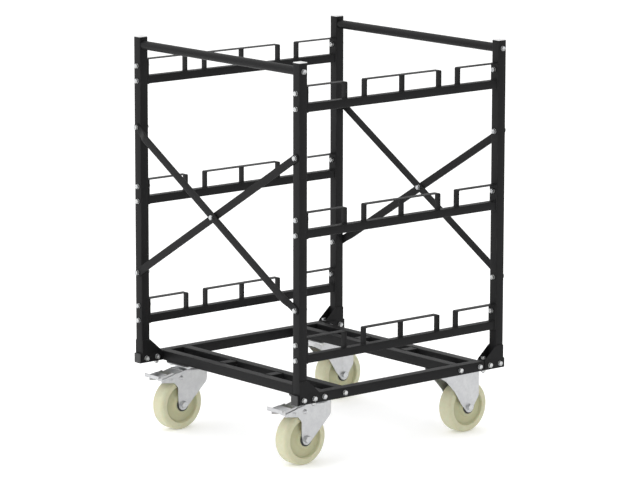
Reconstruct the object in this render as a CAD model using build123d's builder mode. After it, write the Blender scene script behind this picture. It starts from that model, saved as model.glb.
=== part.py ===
from build123d import *
import os
from math import hypot, sqrt

os.makedirs("parts", exist_ok=True)

# Rack trolley with three levels of slotted rails. Millimetres, +Z up.
# +X points to the right-hand posts, +Y to the fixed casters at the rear end.
# The origin is on the floor, under the middle of the frame.

# --- Overall sizes ---
frame_width = 782.0          # outside the posts, along X
frame_length = 816.0         # outside the posts, along Y
first_level = 118.0          # top of the lowest rails above the base beams
level_pitch = 372.0          # from one level of rails to the next
post_above_rail = 120.0      # post tube above the top of the highest rails

# --- Tubes and sheet ---
post_side = 30.0
beam_side = 30.0
rail_side = 25.0
tube_wall = 2.0
corner_radius = 2.5
beam_overhang = 8.0          # side beams beyond the posts at each end
cross_beam_inset = 176.0     # inner cross beams from the frame's end, centre line
stringer_x = 110.0           # stringers from the middle, along X
push_bar_diameter = 27.0
push_bar_drop = 11.0         # push bar's top below the post tube's top
plug_flange = 2.5            # head of each plastic tube plug
plug_depth = 12.0
plug_gap = 0.2               # between a plug's skirt and the tube wall
plug_wall = 2.0

# --- Casters ---
wheel_diameter = 160.0
wheel_width = 50.0
wheel_headroom = 45.0        # top of the wheels to the underside of the base beams
caster_inset = 96.0          # caster centre line inside the frame's outer face, along X
caster_trail = 52.0          # swivel axis to wheel axle
fixed_offset = 58.0          # middle of the fixed plates to their wheel axle
bolt_span_y = 80.0           # caster plate hole spacing, and the cross beams' spacing
plate_margin_x = 10.0        # plate beyond its holes
plate_margin_y = 15.0
plate_thickness = 4.0
fork_sheet = 3.0
hub_stand = 1.5              # hub proud of the wheel's face
bush_flange = 2.0
axle_diameter = 12.0

# --- Clearances ---
running_clearance = 0.06     # radial, pins and axles in what turns on them
side_clearance = 0.5         # between moving faces
bolt_clearance = 0.25        # radial, bolts in drilled holes
screw_gap = 1.5              # between the fork legs and the caster screws' heads

# --- Fasteners, M8 ---
bolt_radius = 4.0
hex_flats = 13.0
head_height = 5.3
nut_height = 6.5
washer_radius = 8.0
washer_thickness = 1.6
hole_radius = bolt_radius + bolt_clearance

# --- Positions worked out from the sizes above ---
half_width = frame_width / 2
half_length = frame_length / 2
post_x = half_width - post_side / 2
post_y = half_length - post_side / 2
beam_x = half_width - beam_side / 2
caster_height = wheel_diameter + wheel_headroom
deck_top = caster_height + beam_side
beam_z = caster_height + beam_side / 2
level_names = ["low", "middle", "top"]
rail_tops = [deck_top + first_level + level_pitch * i for i in range(len(level_names))]
post_height = rail_tops[-1] + post_above_rail - deck_top
push_bar_z = deck_top + post_height - push_bar_drop - push_bar_diameter / 2
wheel_radius = wheel_diameter / 2
hub_half = wheel_width / 2 + hub_stand
fork_inner = hub_half + bush_flange + side_clearance
fork_outer = fork_inner + fork_sheet
bolt_span_x = 2 * (fork_outer + hex_flats / 2 + screw_gap)
plate_width = bolt_span_x + 2 * plate_margin_x
plate_length = bolt_span_y + 2 * plate_margin_y
caster_x = half_width - caster_inset
cross_inner_y = half_length - cross_beam_inset
cross_outer_y = cross_inner_y + bolt_span_y
caster_y = (cross_inner_y + cross_outer_y) / 2
sides = [("left", -1), ("right", 1)]
ends = [("front", -1), ("rear", 1)]


def along_x(x, y, z):
    """Plane whose normal runs along +X, with +Y as its own x direction."""
    return Plane(origin=(x, y, z), x_dir=(0, 1, 0), z_dir=(1, 0, 0))


def along_y(x, y, z):
    """Plane whose normal runs along +Y, with -X as its own x direction."""
    return Plane(origin=(x, y, z), x_dir=(-1, 0, 0), z_dir=(0, 1, 0))


def save(piece, name):
    """Label one finished piece and write its STEP file."""
    piece.label = name
    export_step(piece, "parts/" + name + ".step")


def square_tube(plane, side, length):
    """Hollow square tube with rounded corners, from the plane along its normal."""
    with BuildPart() as tube:
        with BuildSketch(plane):
            RectangleRounded(side, side, corner_radius)
            Rectangle(side - 2 * tube_wall, side - 2 * tube_wall, mode=Mode.SUBTRACT)
        extrude(amount=length)
    return tube.part


def tube_plug(plane, side):
    """Plastic end plug: a flat head outwards along the normal, and a hollow skirt inside the tube."""
    inner = side - 2 * tube_wall - 2 * plug_gap
    with BuildPart() as plug:
        with BuildSketch(plane):
            RectangleRounded(side, side, corner_radius)
        extrude(amount=plug_flange)
        with BuildSketch(plane):
            Rectangle(inner, inner)
            Rectangle(inner - 2 * plug_wall, inner - 2 * plug_wall, mode=Mode.SUBTRACT)
        extrude(amount=-plug_depth)
    return plug.part


def bolt(plane, grip, has_nut=True, tail=3.0, head_washer=washer_thickness):
    """Hex bolt with washers. The plane lies on the clamped face and its normal points to the head."""
    with BuildPart() as fastener:
        if head_washer:
            with BuildSketch(plane):
                Circle(washer_radius)
            extrude(amount=head_washer)
        with BuildSketch(plane.offset(head_washer)):
            RegularPolygon(hex_flats / 2, 6, major_radius=False)
        extrude(amount=head_height)
        with BuildSketch(plane):
            Circle(bolt_radius)
        extrude(amount=-(grip + (washer_thickness + nut_height if has_nut else 0) + tail))
        if has_nut:
            with BuildSketch(plane.offset(-grip)):
                Circle(washer_radius)
            extrude(amount=-washer_thickness)
            with BuildSketch(plane.offset(-grip - washer_thickness)):
                RegularPolygon(hex_flats / 2, 6, major_radius=False)
            extrude(amount=-nut_height)
    return fastener.part


# --- Base frame: two side beams, four cross beams, four stringers ---
foot_bolt_gap = 41.0         # between a foot bracket's two cross bolts
vertical_bolt_gap = 11.0     # from the second cross bolt to the vertical one
post_bolt_y = post_y
foot_bolt_y = post_bolt_y - foot_bolt_gap
vertical_bolt_y = foot_bolt_y - vertical_bolt_gap
side_bolt_ys = [cross_inner_y, cross_outer_y, foot_bolt_y, post_bolt_y]
beam_length = frame_length + 2 * (beam_overhang - plug_flange)

for side_name, side in sides:
    with BuildPart() as side_beam:
        add(square_tube(along_y(side * beam_x, -beam_length / 2, beam_z), beam_side, beam_length))
        with BuildSketch(along_x(0, 0, beam_z)):
            with Locations(*[(y * end, 0) for y in side_bolt_ys for end in (-1, 1)]):
                Circle(hole_radius)
        extrude(amount=side * frame_width, mode=Mode.SUBTRACT)
        with BuildSketch(Plane.XY):
            with Locations(*[(side * beam_x, vertical_bolt_y * end) for end in (-1, 1)]):
                Circle(hole_radius)
        extrude(amount=deck_top + 1, mode=Mode.SUBTRACT)
    save(side_beam.part, "side_beam_" + side_name)

cross_length = frame_width - 2 * beam_side
end_block = 12.0             # threaded block welded into each end of a cross beam
for end_name, end in ends:
    for row_name, row_y in (("outer", cross_outer_y), ("inner", cross_inner_y)):
        with BuildPart() as cross_beam:
            add(square_tube(along_x(-cross_length / 2, end * row_y, beam_z), beam_side, cross_length))
            for side in (-1, 1):
                with BuildSketch(along_x(side * (cross_length / 2 - end_block), end * row_y, beam_z)):
                    Rectangle(beam_side - 2 * tube_wall, beam_side - 2 * tube_wall)
                extrude(amount=side * end_block)
                with BuildSketch(along_x(side * cross_length / 2, end * row_y, beam_z)):
                    Circle(bolt_radius)
                extrude(amount=-side * end_block, mode=Mode.SUBTRACT)
            with BuildSketch(Plane.XY.offset(caster_height - 1)):
                for side in (-1, 1):
                    with Locations((side * caster_x, end * row_y)):
                        with GridLocations(bolt_span_x, 0, 2, 1):
                            Circle(hole_radius)
            extrude(amount=tube_wall + 2, mode=Mode.SUBTRACT)
        save(cross_beam.part, "cross_beam_" + end_name + "_" + row_name)

stringer_length = bolt_span_y - beam_side
stringers = [
    square_tube(along_y(side * stringer_x, end * caster_y - stringer_length / 2, beam_z),
                beam_side, stringer_length)
    for side in (-1, 1) for end in (-1, 1)
]
with BuildPart() as deck_stringers:
    add(stringers)
save(deck_stringers.part, "deck_stringers")

beam_plugs = [
    tube_plug(Plane(origin=(side * beam_x, end * beam_length / 2, beam_z),
                    x_dir=(1, 0, 0), z_dir=(0, end, 0)), beam_side)
    for side in (-1, 1) for end in (-1, 1)
]
with BuildPart() as beam_end_plugs:
    add(beam_plugs)
save(beam_end_plugs.part, "beam_end_plugs")

# --- Posts, their caps and foot brackets ---
rail_bolt_drop = rail_side / 2 + 2.0     # lower rail bolt below the rail's top
rail_bolt_rise = 31.5                    # upper rail bolt above the rail's top
rail_bolt_zs = [z for top in rail_tops for z in (top - rail_bolt_drop, top + rail_bolt_rise)]
brace_low_z = rail_tops[0] + 135.5
brace_high_z = rail_tops[-1] - 157.5
brace_zs = [brace_low_z, brace_high_z]

for end_name, end in ends:
    for side_name, side in sides:
        with BuildPart() as post:
            add(square_tube(Plane.XY.offset(deck_top).move(Location((side * post_x, end * post_y, 0))),
                            post_side, post_height))
            with BuildSketch(along_y(side * post_x, end * half_length, 0)):
                with Locations(*[(0, z) for z in rail_bolt_zs + brace_zs]):
                    Circle(hole_radius)
            extrude(amount=-end * post_side, mode=Mode.SUBTRACT)
            with BuildSketch(along_x(side * half_width, end * post_y, 0)):
                with Locations((0, push_bar_z)):
                    Circle(hole_radius)
            extrude(amount=-side * post_side, mode=Mode.SUBTRACT)
        save(post.part, "post_" + end_name + "_" + side_name)

post_caps = [
    tube_plug(Plane(origin=(side * post_x, end * post_y, deck_top + post_height)), post_side)
    for side in (-1, 1) for end in (-1, 1)
]
with BuildPart() as post_top_caps:
    add(post_caps)
save(post_top_caps.part, "post_top_caps")

cheek_sheet = 2.5
cheek_rise = 42.0            # height of the cheek against the post
cheek_tail = 8.0             # cheek beyond the vertical bolt, along the beam
cheek_edge = 2.0             # beam side left bare below the cheek
inner_face_y = half_length - post_side
cheek_end_y = vertical_bolt_y - cheek_tail


def foot_bracket(side, end):
    """Two cheeks and a top strap, welded to the post's foot and bolted to the side beam."""
    with BuildPart() as bracket:
        for face in (half_width, half_width - beam_side - cheek_sheet):
            with BuildSketch(along_x(side * face, 0, 0)):
                with BuildLine():
                    Polyline(
                        (end * half_length, caster_height + cheek_edge),
                        (end * half_length, deck_top + cheek_rise),
                        (end * inner_face_y, deck_top + cheek_rise),
                        (end * cheek_end_y, deck_top),
                        (end * cheek_end_y, caster_height + cheek_edge),
                        close=True,
                    )
                make_face()
                with Locations((end * post_bolt_y, beam_z), (end * foot_bolt_y, beam_z)):
                    Circle(hole_radius, mode=Mode.SUBTRACT)
            extrude(amount=side * cheek_sheet)
        with BuildSketch(Plane.XY.offset(deck_top)):
            with Locations((side * beam_x, end * (inner_face_y + cheek_end_y) / 2)):
                Rectangle(beam_side + 2 * cheek_sheet, inner_face_y - cheek_end_y)
            with Locations((side * beam_x, end * vertical_bolt_y)):
                Circle(hole_radius, mode=Mode.SUBTRACT)
        extrude(amount=cheek_sheet)
    return bracket.part


for end_name, end in ends:
    end_brackets = [foot_bracket(side, end) for side in (-1, 1)]
    with BuildPart() as foot_brackets:
        add(end_brackets)
    save(foot_brackets.part, "foot_brackets_" + end_name)

# --- Push bars between the post tops ---
bar_length = frame_width - 2 * post_side
bar_plug = 15.0
for end_name, end in ends:
    with BuildPart() as push_bar:
        with BuildSketch(along_x(-bar_length / 2, end * post_y, push_bar_z)):
            Circle(push_bar_diameter / 2)
        extrude(amount=bar_length)
        with BuildSketch(along_x(-bar_length / 2 + bar_plug, end * post_y, push_bar_z)):
            Circle(push_bar_diameter / 2 - tube_wall)
        extrude(amount=bar_length - 2 * bar_plug, mode=Mode.SUBTRACT)
        with BuildSketch(along_x(-bar_length / 2, end * post_y, push_bar_z)):
            Circle(bolt_radius)
        extrude(amount=bar_length, mode=Mode.SUBTRACT)
    save(push_bar.part, "push_bar_" + end_name)

# --- Slotted rails: a tube with end plates, and the stop loops on top of it ---
end_plate = 4.5
loop_rise = 51.5             # top of the loops above the rail's top
loop_sheet = 2.0
loop_width = rail_side - 1.0
loop_bend = 3.0
loop_middle = 147.0          # middle to outer legs of the double loop
slot_width = 76.0            # between the legs on each side of a slot
half_loop_leg = loop_middle + slot_width
rail_end = inner_face_y - end_plate


def bent_strip(points):
    """Strip of loop sheet bent along a line of (x, y, z) points, its width along X."""
    with BuildPart() as strip:
        with BuildLine() as path:
            FilletPolyline(*points, radius=loop_bend)
        with BuildSketch(Plane(origin=path.line @ 0, x_dir=(1, 0, 0), z_dir=path.line % 0)):
            Rectangle(loop_width, loop_sheet)
        sweep()
    return strip.part


for side_name, side in sides:
    for level_name, rail_top in zip(level_names, rail_tops):
        rail_z = rail_top - rail_side / 2
        loop_z = rail_top + loop_rise - loop_sheet / 2
        with BuildPart() as rail:
            add(square_tube(along_y(side * post_x, -rail_end, rail_z), rail_side, 2 * rail_end))
            for end in (-1, 1):
                with BuildSketch(along_y(side * post_x, end * rail_end, 0)):
                    with Locations((0, rail_top + (loop_rise - rail_side) / 2)):
                        Rectangle(post_side, loop_rise + rail_side)
                    with Locations((0, rail_top - rail_bolt_drop), (0, rail_top + rail_bolt_rise)):
                        Circle(hole_radius, mode=Mode.SUBTRACT)
                extrude(amount=end * end_plate)
        save(rail.part, "rail_" + level_name + "_" + side_name)

        x = side * post_x
        middle_loop = bent_strip([
            (x, -loop_middle, rail_top), (x, -loop_middle, loop_z),
            (x, loop_middle, loop_z), (x, loop_middle, rail_top)])
        with BuildPart() as middle_leg:
            with BuildSketch(Plane.XY.offset(rail_top).move(Location((x, 0, 0)))):
                Rectangle(loop_width, loop_sheet)
            extrude(amount=loop_rise - loop_sheet)
        end_loops = [
            bent_strip([(x, end * half_loop_leg, rail_top), (x, end * half_loop_leg, loop_z),
                        (x, end * rail_end, loop_z)])
            for end in (-1, 1)
        ]
        with BuildPart() as stop_loops:
            add([middle_loop, middle_leg.part] + end_loops)
        save(stop_loops.part, "stop_loops_" + level_name + "_" + side_name)

# --- Cross braces on the outer faces of the posts ---
brace_width = 24.0
brace_flat = 4.0             # thickness of the flat brace and of the pressed ends
brace_depth = 9.0            # depth of the tube brace
brace_corner = 2.5
brace_wall = 1.5
brace_run = 2 * post_x
brace_rise = brace_high_z - brace_low_z
brace_length = hypot(brace_run, brace_rise)
brace_tongue = 22.0          # flat tongue beyond each end bolt's centre
brace_taper = 34.0


def brace_plane(end, slope):
    """Plane on the posts' outer faces: x along the brace from its first bolt, normal outwards."""
    start_z = brace_low_z if slope > 0 else brace_high_z
    return Plane(origin=(end * post_x, end * half_length, start_z),
                 x_dir=(-end * brace_run, 0, slope * brace_rise), z_dir=(0, end, 0))


def section_plane(base, along, height):
    """Plane across a brace, at a distance along it and a height off the posts' faces."""
    return Plane(origin=base.from_local_coords((along, 0, height)), x_dir=base.y_dir, z_dir=base.x_dir)


brace_bolt_places = [(0, 0), (brace_length / 2, 0), (brace_length, 0)]
body_height = brace_flat + brace_depth / 2
body_start = brace_tongue + brace_taper
for end_name, end in ends:
    with BuildPart() as flat_brace:
        with BuildSketch(brace_plane(end, 1)):
            with Locations((brace_length / 2, 0)):
                SlotCenterToCenter(brace_length, brace_width)
            with Locations(*brace_bolt_places):
                Circle(hole_radius, mode=Mode.SUBTRACT)
        extrude(amount=brace_flat)
    save(flat_brace.part, "brace_flat_" + end_name)

    base = brace_plane(end, -1)
    with BuildPart() as tube_brace:
        for start, direction in ((0, 1), (brace_length, -1)):
            with BuildSketch(base):
                with Locations((start, 0)):
                    Circle(brace_width / 2)
                with Locations((start + direction * brace_tongue / 2, 0)):
                    Rectangle(brace_tongue, brace_width)
            extrude(amount=brace_flat)
            with BuildSketch(section_plane(base, start + direction * brace_tongue, brace_flat / 2)):
                RectangleRounded(brace_width, brace_flat, brace_flat / 2 - 0.2)
            with BuildSketch(section_plane(base, start + direction * body_start, body_height)):
                RectangleRounded(brace_width, brace_depth, brace_corner)
            loft()
        with BuildSketch(section_plane(base, body_start, body_height)):
            RectangleRounded(brace_width, brace_depth, brace_corner)
            Rectangle(brace_width - 2 * brace_wall, brace_depth - 2 * brace_wall, mode=Mode.SUBTRACT)
        extrude(amount=brace_length - 2 * body_start)
        with BuildSketch(base):
            with Locations(*brace_bolt_places):
                Circle(hole_radius)
        extrude(amount=brace_flat + brace_depth, mode=Mode.SUBTRACT)
    save(tube_brace.part, "brace_tube_" + end_name)

# --- Frame fasteners ---
cross_bolts = [
    bolt(Plane(origin=(side * half_width, end * y, beam_z), z_dir=(side, 0, 0)), beam_side, False, end_block)
    for side in (-1, 1) for end in (-1, 1) for y in (cross_inner_y, cross_outer_y)
]
foot_bolts = [
    bolt(Plane(origin=(side * (half_width + cheek_sheet), end * y, beam_z), z_dir=(side, 0, 0)),
         beam_side + 2 * cheek_sheet)
    for side in (-1, 1) for end in (-1, 1) for y in (post_bolt_y, foot_bolt_y)
]
vertical_bolts = [
    bolt(Plane(origin=(side * beam_x, end * vertical_bolt_y, deck_top + cheek_sheet)),
         beam_side + cheek_sheet)
    for side in (-1, 1) for end in (-1, 1)
]
with BuildPart() as base_bolts:
    add(cross_bolts + foot_bolts + vertical_bolts)
save(base_bolts.part, "base_bolts")

with BuildPart() as rail_bolts:
    add([
        bolt(Plane(origin=(side * post_x, end * half_length, z), z_dir=(0, end, 0)), post_side + end_plate)
        for side in (-1, 1) for end in (-1, 1) for z in rail_bolt_zs
    ])
save(rail_bolts.part, "rail_bolts")

brace_end_bolts = []
for end in (-1, 1):
    for side in (-1, 1):
        for z in brace_zs:
            face = Plane(origin=(side * post_x, end * (half_length + brace_flat), z), z_dir=(0, end, 0))
            brace_end_bolts.append(bolt(face, post_side + brace_flat))
brace_middle_z = (brace_low_z + brace_high_z) / 2
brace_middle_bolts = [
    bolt(Plane(origin=(0, end * (half_length + brace_flat + brace_depth), brace_middle_z),
               z_dir=(0, end, 0)), brace_flat + brace_depth)
    for end in (-1, 1)
]
with BuildPart() as brace_bolts:
    add(brace_end_bolts + brace_middle_bolts)
save(brace_bolts.part, "brace_bolts")

with BuildPart() as push_bar_bolts:
    add([
        bolt(Plane(origin=(side * half_width, end * post_y, push_bar_z), z_dir=(side, 0, 0)),
             post_side, False, bar_plug)
        for side in (-1, 1) for end in (-1, 1)
    ])
save(push_bar_bolts.part, "push_bar_bolts")

# --- Caster seats: a black pad under the cross beams, and the screws that hold each caster ---
pad_thickness = 4.0
pad_margin = 2.0             # pad beyond the caster's plate on each side
plate_corner = 8.0
pad_bottom = caster_height - pad_thickness
plate_bottom = pad_bottom - plate_thickness


def drilled_plate(x, y, bottom, thickness, width, length):
    """Flat plate with the caster's four bolt holes."""
    with BuildPart() as plate:
        with BuildSketch(Plane.XY.offset(bottom)):
            with Locations((x, y)):
                RectangleRounded(width, length, plate_corner)
                with GridLocations(bolt_span_x, bolt_span_y, 2, 2):
                    Circle(hole_radius, mode=Mode.SUBTRACT)
        extrude(amount=thickness)
    return plate.part


caster_places = [(side * caster_x, end * caster_y) for side in (-1, 1) for end in (-1, 1)]
with BuildPart() as caster_pads:
    add([drilled_plate(x, y, pad_bottom, pad_thickness,
                       plate_width + 2 * pad_margin, plate_length + 2 * pad_margin)
         for x, y in caster_places])
save(caster_pads.part, "caster_pads")

screw_grip = plate_thickness + pad_thickness + tube_wall
screws = []
for x, y in caster_places:
    for hole_x in (-bolt_span_x / 2, bolt_span_x / 2):
        for hole_y in (-bolt_span_y / 2, bolt_span_y / 2):
            face = Plane(origin=(x + hole_x, y + hole_y, plate_bottom), z_dir=(0, 0, -1))
            screws.append(bolt(face, screw_grip, head_washer=0.0))
with BuildPart() as caster_screws:
    add(screws)
save(caster_screws.part, "caster_screws")

# --- Wheels, hub bushes and axles ---
tread_round = 12.0
rim_depth = 21.0             # from the tread to the inner edge of the rim on each face
rim_radius = wheel_radius - rim_depth
rim_slope = 4.0
recess_depth = 9.0           # deepest at the rim
recess_rise = 4.0            # shallower at the hub
hub_radius = 28.0
hub_flare = 6.0
bush_radius = 17.0
bush_flange_radius = 22.0
axle_washer_radius = 12.0
axle_washer = 2.0
axle_hex_flats = 19.0
axle_head = 6.5
axle_nut = 8.0
bore_radius = axle_diameter / 2 + running_clearance


def wheel_body(x, y):
    """Solid nylon wheel: rounded tread, conical recess on both faces, raised hub."""
    half = wheel_width / 2
    recess_outer = half - recess_depth
    recess_inner = recess_outer + recess_rise
    shoulder = wheel_radius - tread_round
    with BuildPart() as wheel:
        with BuildSketch(Plane(origin=(x, y, wheel_radius), x_dir=(1, 0, 0), z_dir=(0, -1, 0))):
            with BuildLine():
                Polyline(
                    (-half, shoulder), (-half, rim_radius), (-recess_outer, rim_radius - rim_slope),
                    (-recess_inner, hub_radius + hub_flare), (-hub_half, hub_radius),
                    (-hub_half, bush_radius), (hub_half, bush_radius),
                    (hub_half, hub_radius), (recess_inner, hub_radius + hub_flare),
                    (recess_outer, rim_radius - rim_slope), (half, rim_radius), (half, shoulder),
                )
                RadiusArc((half, shoulder), (half - tread_round, wheel_radius), -tread_round)
                Line((half - tread_round, wheel_radius), (tread_round - half, wheel_radius))
                RadiusArc((tread_round - half, wheel_radius), (-half, shoulder), -tread_round)
            make_face()
        revolve(axis=Axis((x, y, wheel_radius), (1, 0, 0)))
    return wheel.part


def hub_bush(x, y):
    """Black bearing bush through the hub, with a flange on each side."""
    with BuildPart() as bush:
        with BuildSketch(along_x(x - hub_half, y, wheel_radius)):
            Circle(bush_radius)
        extrude(amount=2 * hub_half)
        for face, direction in ((-hub_half, -1), (hub_half, 1)):
            with BuildSketch(along_x(x + face, y, wheel_radius)):
                Circle(bush_flange_radius)
            extrude(amount=direction * bush_flange)
        with BuildSketch(along_x(x - fork_inner, y, wheel_radius)):
            Circle(bore_radius)
        extrude(amount=2 * fork_inner, mode=Mode.SUBTRACT)
    return bush.part


def axle_set(x, y):
    """Axle bolt with its head outside one fork leg and its nut outside the other."""
    with BuildPart() as axle:
        with BuildSketch(along_x(x - fork_outer - axle_washer - axle_nut - axle_washer, y, wheel_radius)):
            Circle(axle_diameter / 2)
        extrude(amount=2 * fork_outer + axle_nut + 2 * axle_washer)
        for direction, height in ((1, axle_head), (-1, axle_nut)):
            with BuildSketch(along_x(x + direction * fork_outer, y, wheel_radius)):
                Circle(axle_washer_radius)
            extrude(amount=direction * axle_washer)
            with BuildSketch(along_x(x + direction * (fork_outer + axle_washer), y, wheel_radius)):
                RegularPolygon(axle_hex_flats / 2, 6, major_radius=False)
            extrude(amount=direction * height)
    return axle.part


front_axle_y = -caster_y - caster_trail
rear_axle_y = caster_y + fixed_offset
for side_name, side in sides:
    for end_name, axle_y in (("front", front_axle_y), ("rear", rear_axle_y)):
        name = end_name + "_" + side_name
        save(wheel_body(side * caster_x, axle_y), "wheel_" + name)
        save(hub_bush(side * caster_x, axle_y), "hub_bush_" + name)
        save(axle_set(side * caster_x, axle_y), "axle_" + name)

# --- Fixed forks at the rear: two legs under a plate ---
leg_tip = 17.0               # radius of the rounded leg end about the axle
leg_reach = 38.0             # fixed fork behind the axle


def fixed_leg(face):
    """One leg of a fixed fork, from a distance along X. Its outline is in (y, z) from the axle."""
    plate_front = -fixed_offset - plate_length / 2
    plate_back = -fixed_offset + plate_length / 2
    under_plate = plate_bottom - wheel_radius
    tip_start = (-0.815 * leg_tip, -0.579 * leg_tip)
    with BuildPart() as leg:
        with BuildSketch(along_x(face, rear_axle_y, wheel_radius)):
            with BuildLine():
                Polyline(
                    (leg_tip, 0), (leg_reach, 30), (leg_reach, under_plate - 18),
                    (plate_back, under_plate - 14), (plate_back, under_plate),
                    (plate_front, under_plate), (plate_front, under_plate - 14),
                    (-95, wheel_radius + 12), (-61, 55), (-33, 12), tip_start,
                )
                ThreePointArc(tip_start, (0, -leg_tip), (leg_tip, 0))
            make_face()
            Circle(axle_diameter / 2, mode=Mode.SUBTRACT)
        extrude(amount=fork_sheet)
    return leg.part


for side_name, side in sides:
    x = side * caster_x
    with BuildPart() as fixed_fork:
        add(drilled_plate(x, caster_y, plate_bottom, plate_thickness, plate_width, plate_length))
        add([fixed_leg(x - fork_outer), fixed_leg(x + fork_inner)])
    save(fixed_fork.part, "fixed_fork_" + side_name)

# --- Swivel casters at the front ---
race_height = 9.0            # plate's underside to the fork's crown
crown_top = plate_bottom - race_height
crown_sheet = 4.0
crown_radius = 52.0
crown_back = 14.0            # crown sheet between the legs, past the swivel axis towards the wheel
race_radius = 36.0
kingpin_radius = 8.0
kingpin_nut_radius = 13.0
kingpin_nut = 4.0
swivel_y = -caster_y
pedal_pin_y = -45.0          # pedal pin from the axle, along Y
pedal_pin_z = wheel_radius + 3.0
pedal_pin_radius = 4.0
pin_head = 2.0               # pedal pin proud of each fork leg
pedal_half = fork_inner - side_clearance
pedal_sheet = 2.5
pedal_tip = -100.0           # outer edge of the pedal from the axle, along Y
pedal_tip_z = wheel_radius + 13.0  # top face there, above the axle
pedal_slope = 0.15
pedal_tip_half = 34.0        # half width of the pedal where it clears the fork
lip_height = 11.0
lip_rise = 7.0               # lip above the pedal's top face
arm_end = -84.0              # outer end of the fork's arms
arm_gap = 2.5                # between the arms and the pedal's wide end
arm_top = wheel_radius + 7.0
arm_bottom = wheel_radius - 1.0
flange_drop = 8.0            # pedal's side flange at its outer end
pin_eye = 7.0                # flange around the pin
shoe_y = -58.0               # brake shoe that the pedal presses towards the tread
shoe_z = wheel_radius - 5.0
shoe_half = 20.0


def tread_z(y):
    """Height of the pedal's top face above the axle, at a distance along Y from it."""
    return pedal_tip_z + pedal_slope * (y - pedal_tip)


def swivel_leg(face):
    """One leg of a swivel fork, from a distance along X. Its outline is in (y, z) from the axle."""
    top = crown_top - wheel_radius
    front = caster_trail + crown_radius
    tangent = leg_tip * sqrt(0.5)
    with BuildPart() as leg:
        with BuildSketch(along_x(face, front_axle_y, wheel_radius)):
            with BuildLine():
                Polyline(
                    (tangent, -tangent), (66, 39), (91, 61), (front, wheel_radius + 12), (front, top),
                    (2, top), (-30, wheel_radius + 20), (arm_end, arm_top), (arm_end, arm_bottom),
                    (-34, wheel_radius - 8), (-20, wheel_radius - 22), (-leg_tip, 0),
                )
                RadiusArc((-leg_tip, 0), (tangent, -tangent), -leg_tip)
            make_face()
            Circle(axle_diameter / 2, mode=Mode.SUBTRACT)
            with Locations((pedal_pin_y, pedal_pin_z)):
                Circle(pedal_pin_radius, mode=Mode.SUBTRACT)
        extrude(amount=fork_sheet)
    return leg.part


for side_name, side in sides:
    x = side * caster_x
    with BuildPart() as swivel_plate:
        add(drilled_plate(x, swivel_y, plate_bottom, plate_thickness, plate_width, plate_length))
        for radius, depth in ((race_radius, race_height - side_clearance),
                              (kingpin_radius, race_height + crown_sheet + side_clearance)):
            with BuildSketch(Plane.XY.offset(plate_bottom)):
                with Locations((x, swivel_y)):
                    Circle(radius)
            extrude(amount=-depth)
        with BuildSketch(Plane.XY.offset(crown_top - crown_sheet - side_clearance)):
            with Locations((x, swivel_y)):
                Circle(kingpin_nut_radius)
        extrude(amount=-kingpin_nut)
    save(swivel_plate.part, "swivel_plate_" + side_name)

    with BuildPart() as swivel_fork:
        with BuildSketch(Plane.XY.offset(crown_top - crown_sheet)):
            with Locations((x, swivel_y)):
                Circle(crown_radius)
            with Locations((x, swivel_y - (crown_radius + crown_back) / 2 + crown_radius)):
                Rectangle(2 * fork_outer, crown_radius + crown_back)
            with Locations((x, swivel_y)):
                Circle(kingpin_radius + running_clearance, mode=Mode.SUBTRACT)
        extrude(amount=crown_sheet)
        add([swivel_leg(x - fork_outer), swivel_leg(x + fork_inner)])
        with BuildSketch(along_x(x - fork_outer - pin_head, front_axle_y + pedal_pin_y,
                                 wheel_radius + pedal_pin_z)):
            Circle(pedal_pin_radius)
        extrude(amount=2 * (fork_outer + pin_head))
    save(swivel_fork.part, "swivel_fork_" + side_name)

    wide_end = arm_end - arm_gap
    eye_edge = pedal_pin_y + pin_eye + 3
    with BuildPart() as brake_pedal:
        for face in (-pedal_half, pedal_half - pedal_sheet):
            with BuildSketch(along_x(x + face, front_axle_y, wheel_radius)):
                with BuildLine():
                    Polyline(
                        (arm_end, tread_z(arm_end) - pedal_sheet), (eye_edge, tread_z(eye_edge)),
                        (eye_edge, pedal_pin_z), (pedal_pin_y + pin_eye - 1, pedal_pin_z - pin_eye),
                        (pedal_pin_y - pin_eye + 1, pedal_pin_z - pin_eye),
                        (arm_end, tread_z(arm_end) - flange_drop), close=True,
                    )
                make_face()
                with Locations((pedal_pin_y, pedal_pin_z)):
                    Circle(pedal_pin_radius + running_clearance, mode=Mode.SUBTRACT)
            extrude(amount=pedal_sheet)
        for start, finish, half_span in (
                (pedal_tip, wide_end, pedal_tip_half), (wide_end, shoe_y, pedal_half)):
            with BuildSketch(along_x(x - half_span, front_axle_y, wheel_radius)):
                with BuildLine():
                    Polyline(
                        (start, tread_z(start)), (finish, tread_z(finish)),
                        (finish, tread_z(finish) - pedal_sheet), (start, tread_z(start) - pedal_sheet),
                        close=True,
                    )
                make_face()
            extrude(amount=2 * half_span)
        with BuildSketch(along_x(x - pedal_tip_half, front_axle_y, wheel_radius)):
            with Locations((pedal_tip + pedal_sheet / 2, pedal_tip_z + lip_rise - lip_height / 2)):
                Rectangle(pedal_sheet, lip_height)
        extrude(amount=2 * pedal_tip_half)
        with BuildSketch(along_x(x - shoe_half, front_axle_y, wheel_radius)):
            with BuildLine():
                Polyline(
                    (shoe_y, tread_z(shoe_y)), (shoe_y, shoe_z), (shoe_y - pedal_sheet, shoe_z),
                    (shoe_y - pedal_sheet, tread_z(shoe_y - pedal_sheet)), close=True,
                )
            make_face()
        extrude(amount=2 * shoe_half)
    save(brake_pedal.part, "brake_pedal_" + side_name)
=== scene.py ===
import math
from functools import lru_cache

import bmesh
import bpy
from mathutils import Matrix, Vector


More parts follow.
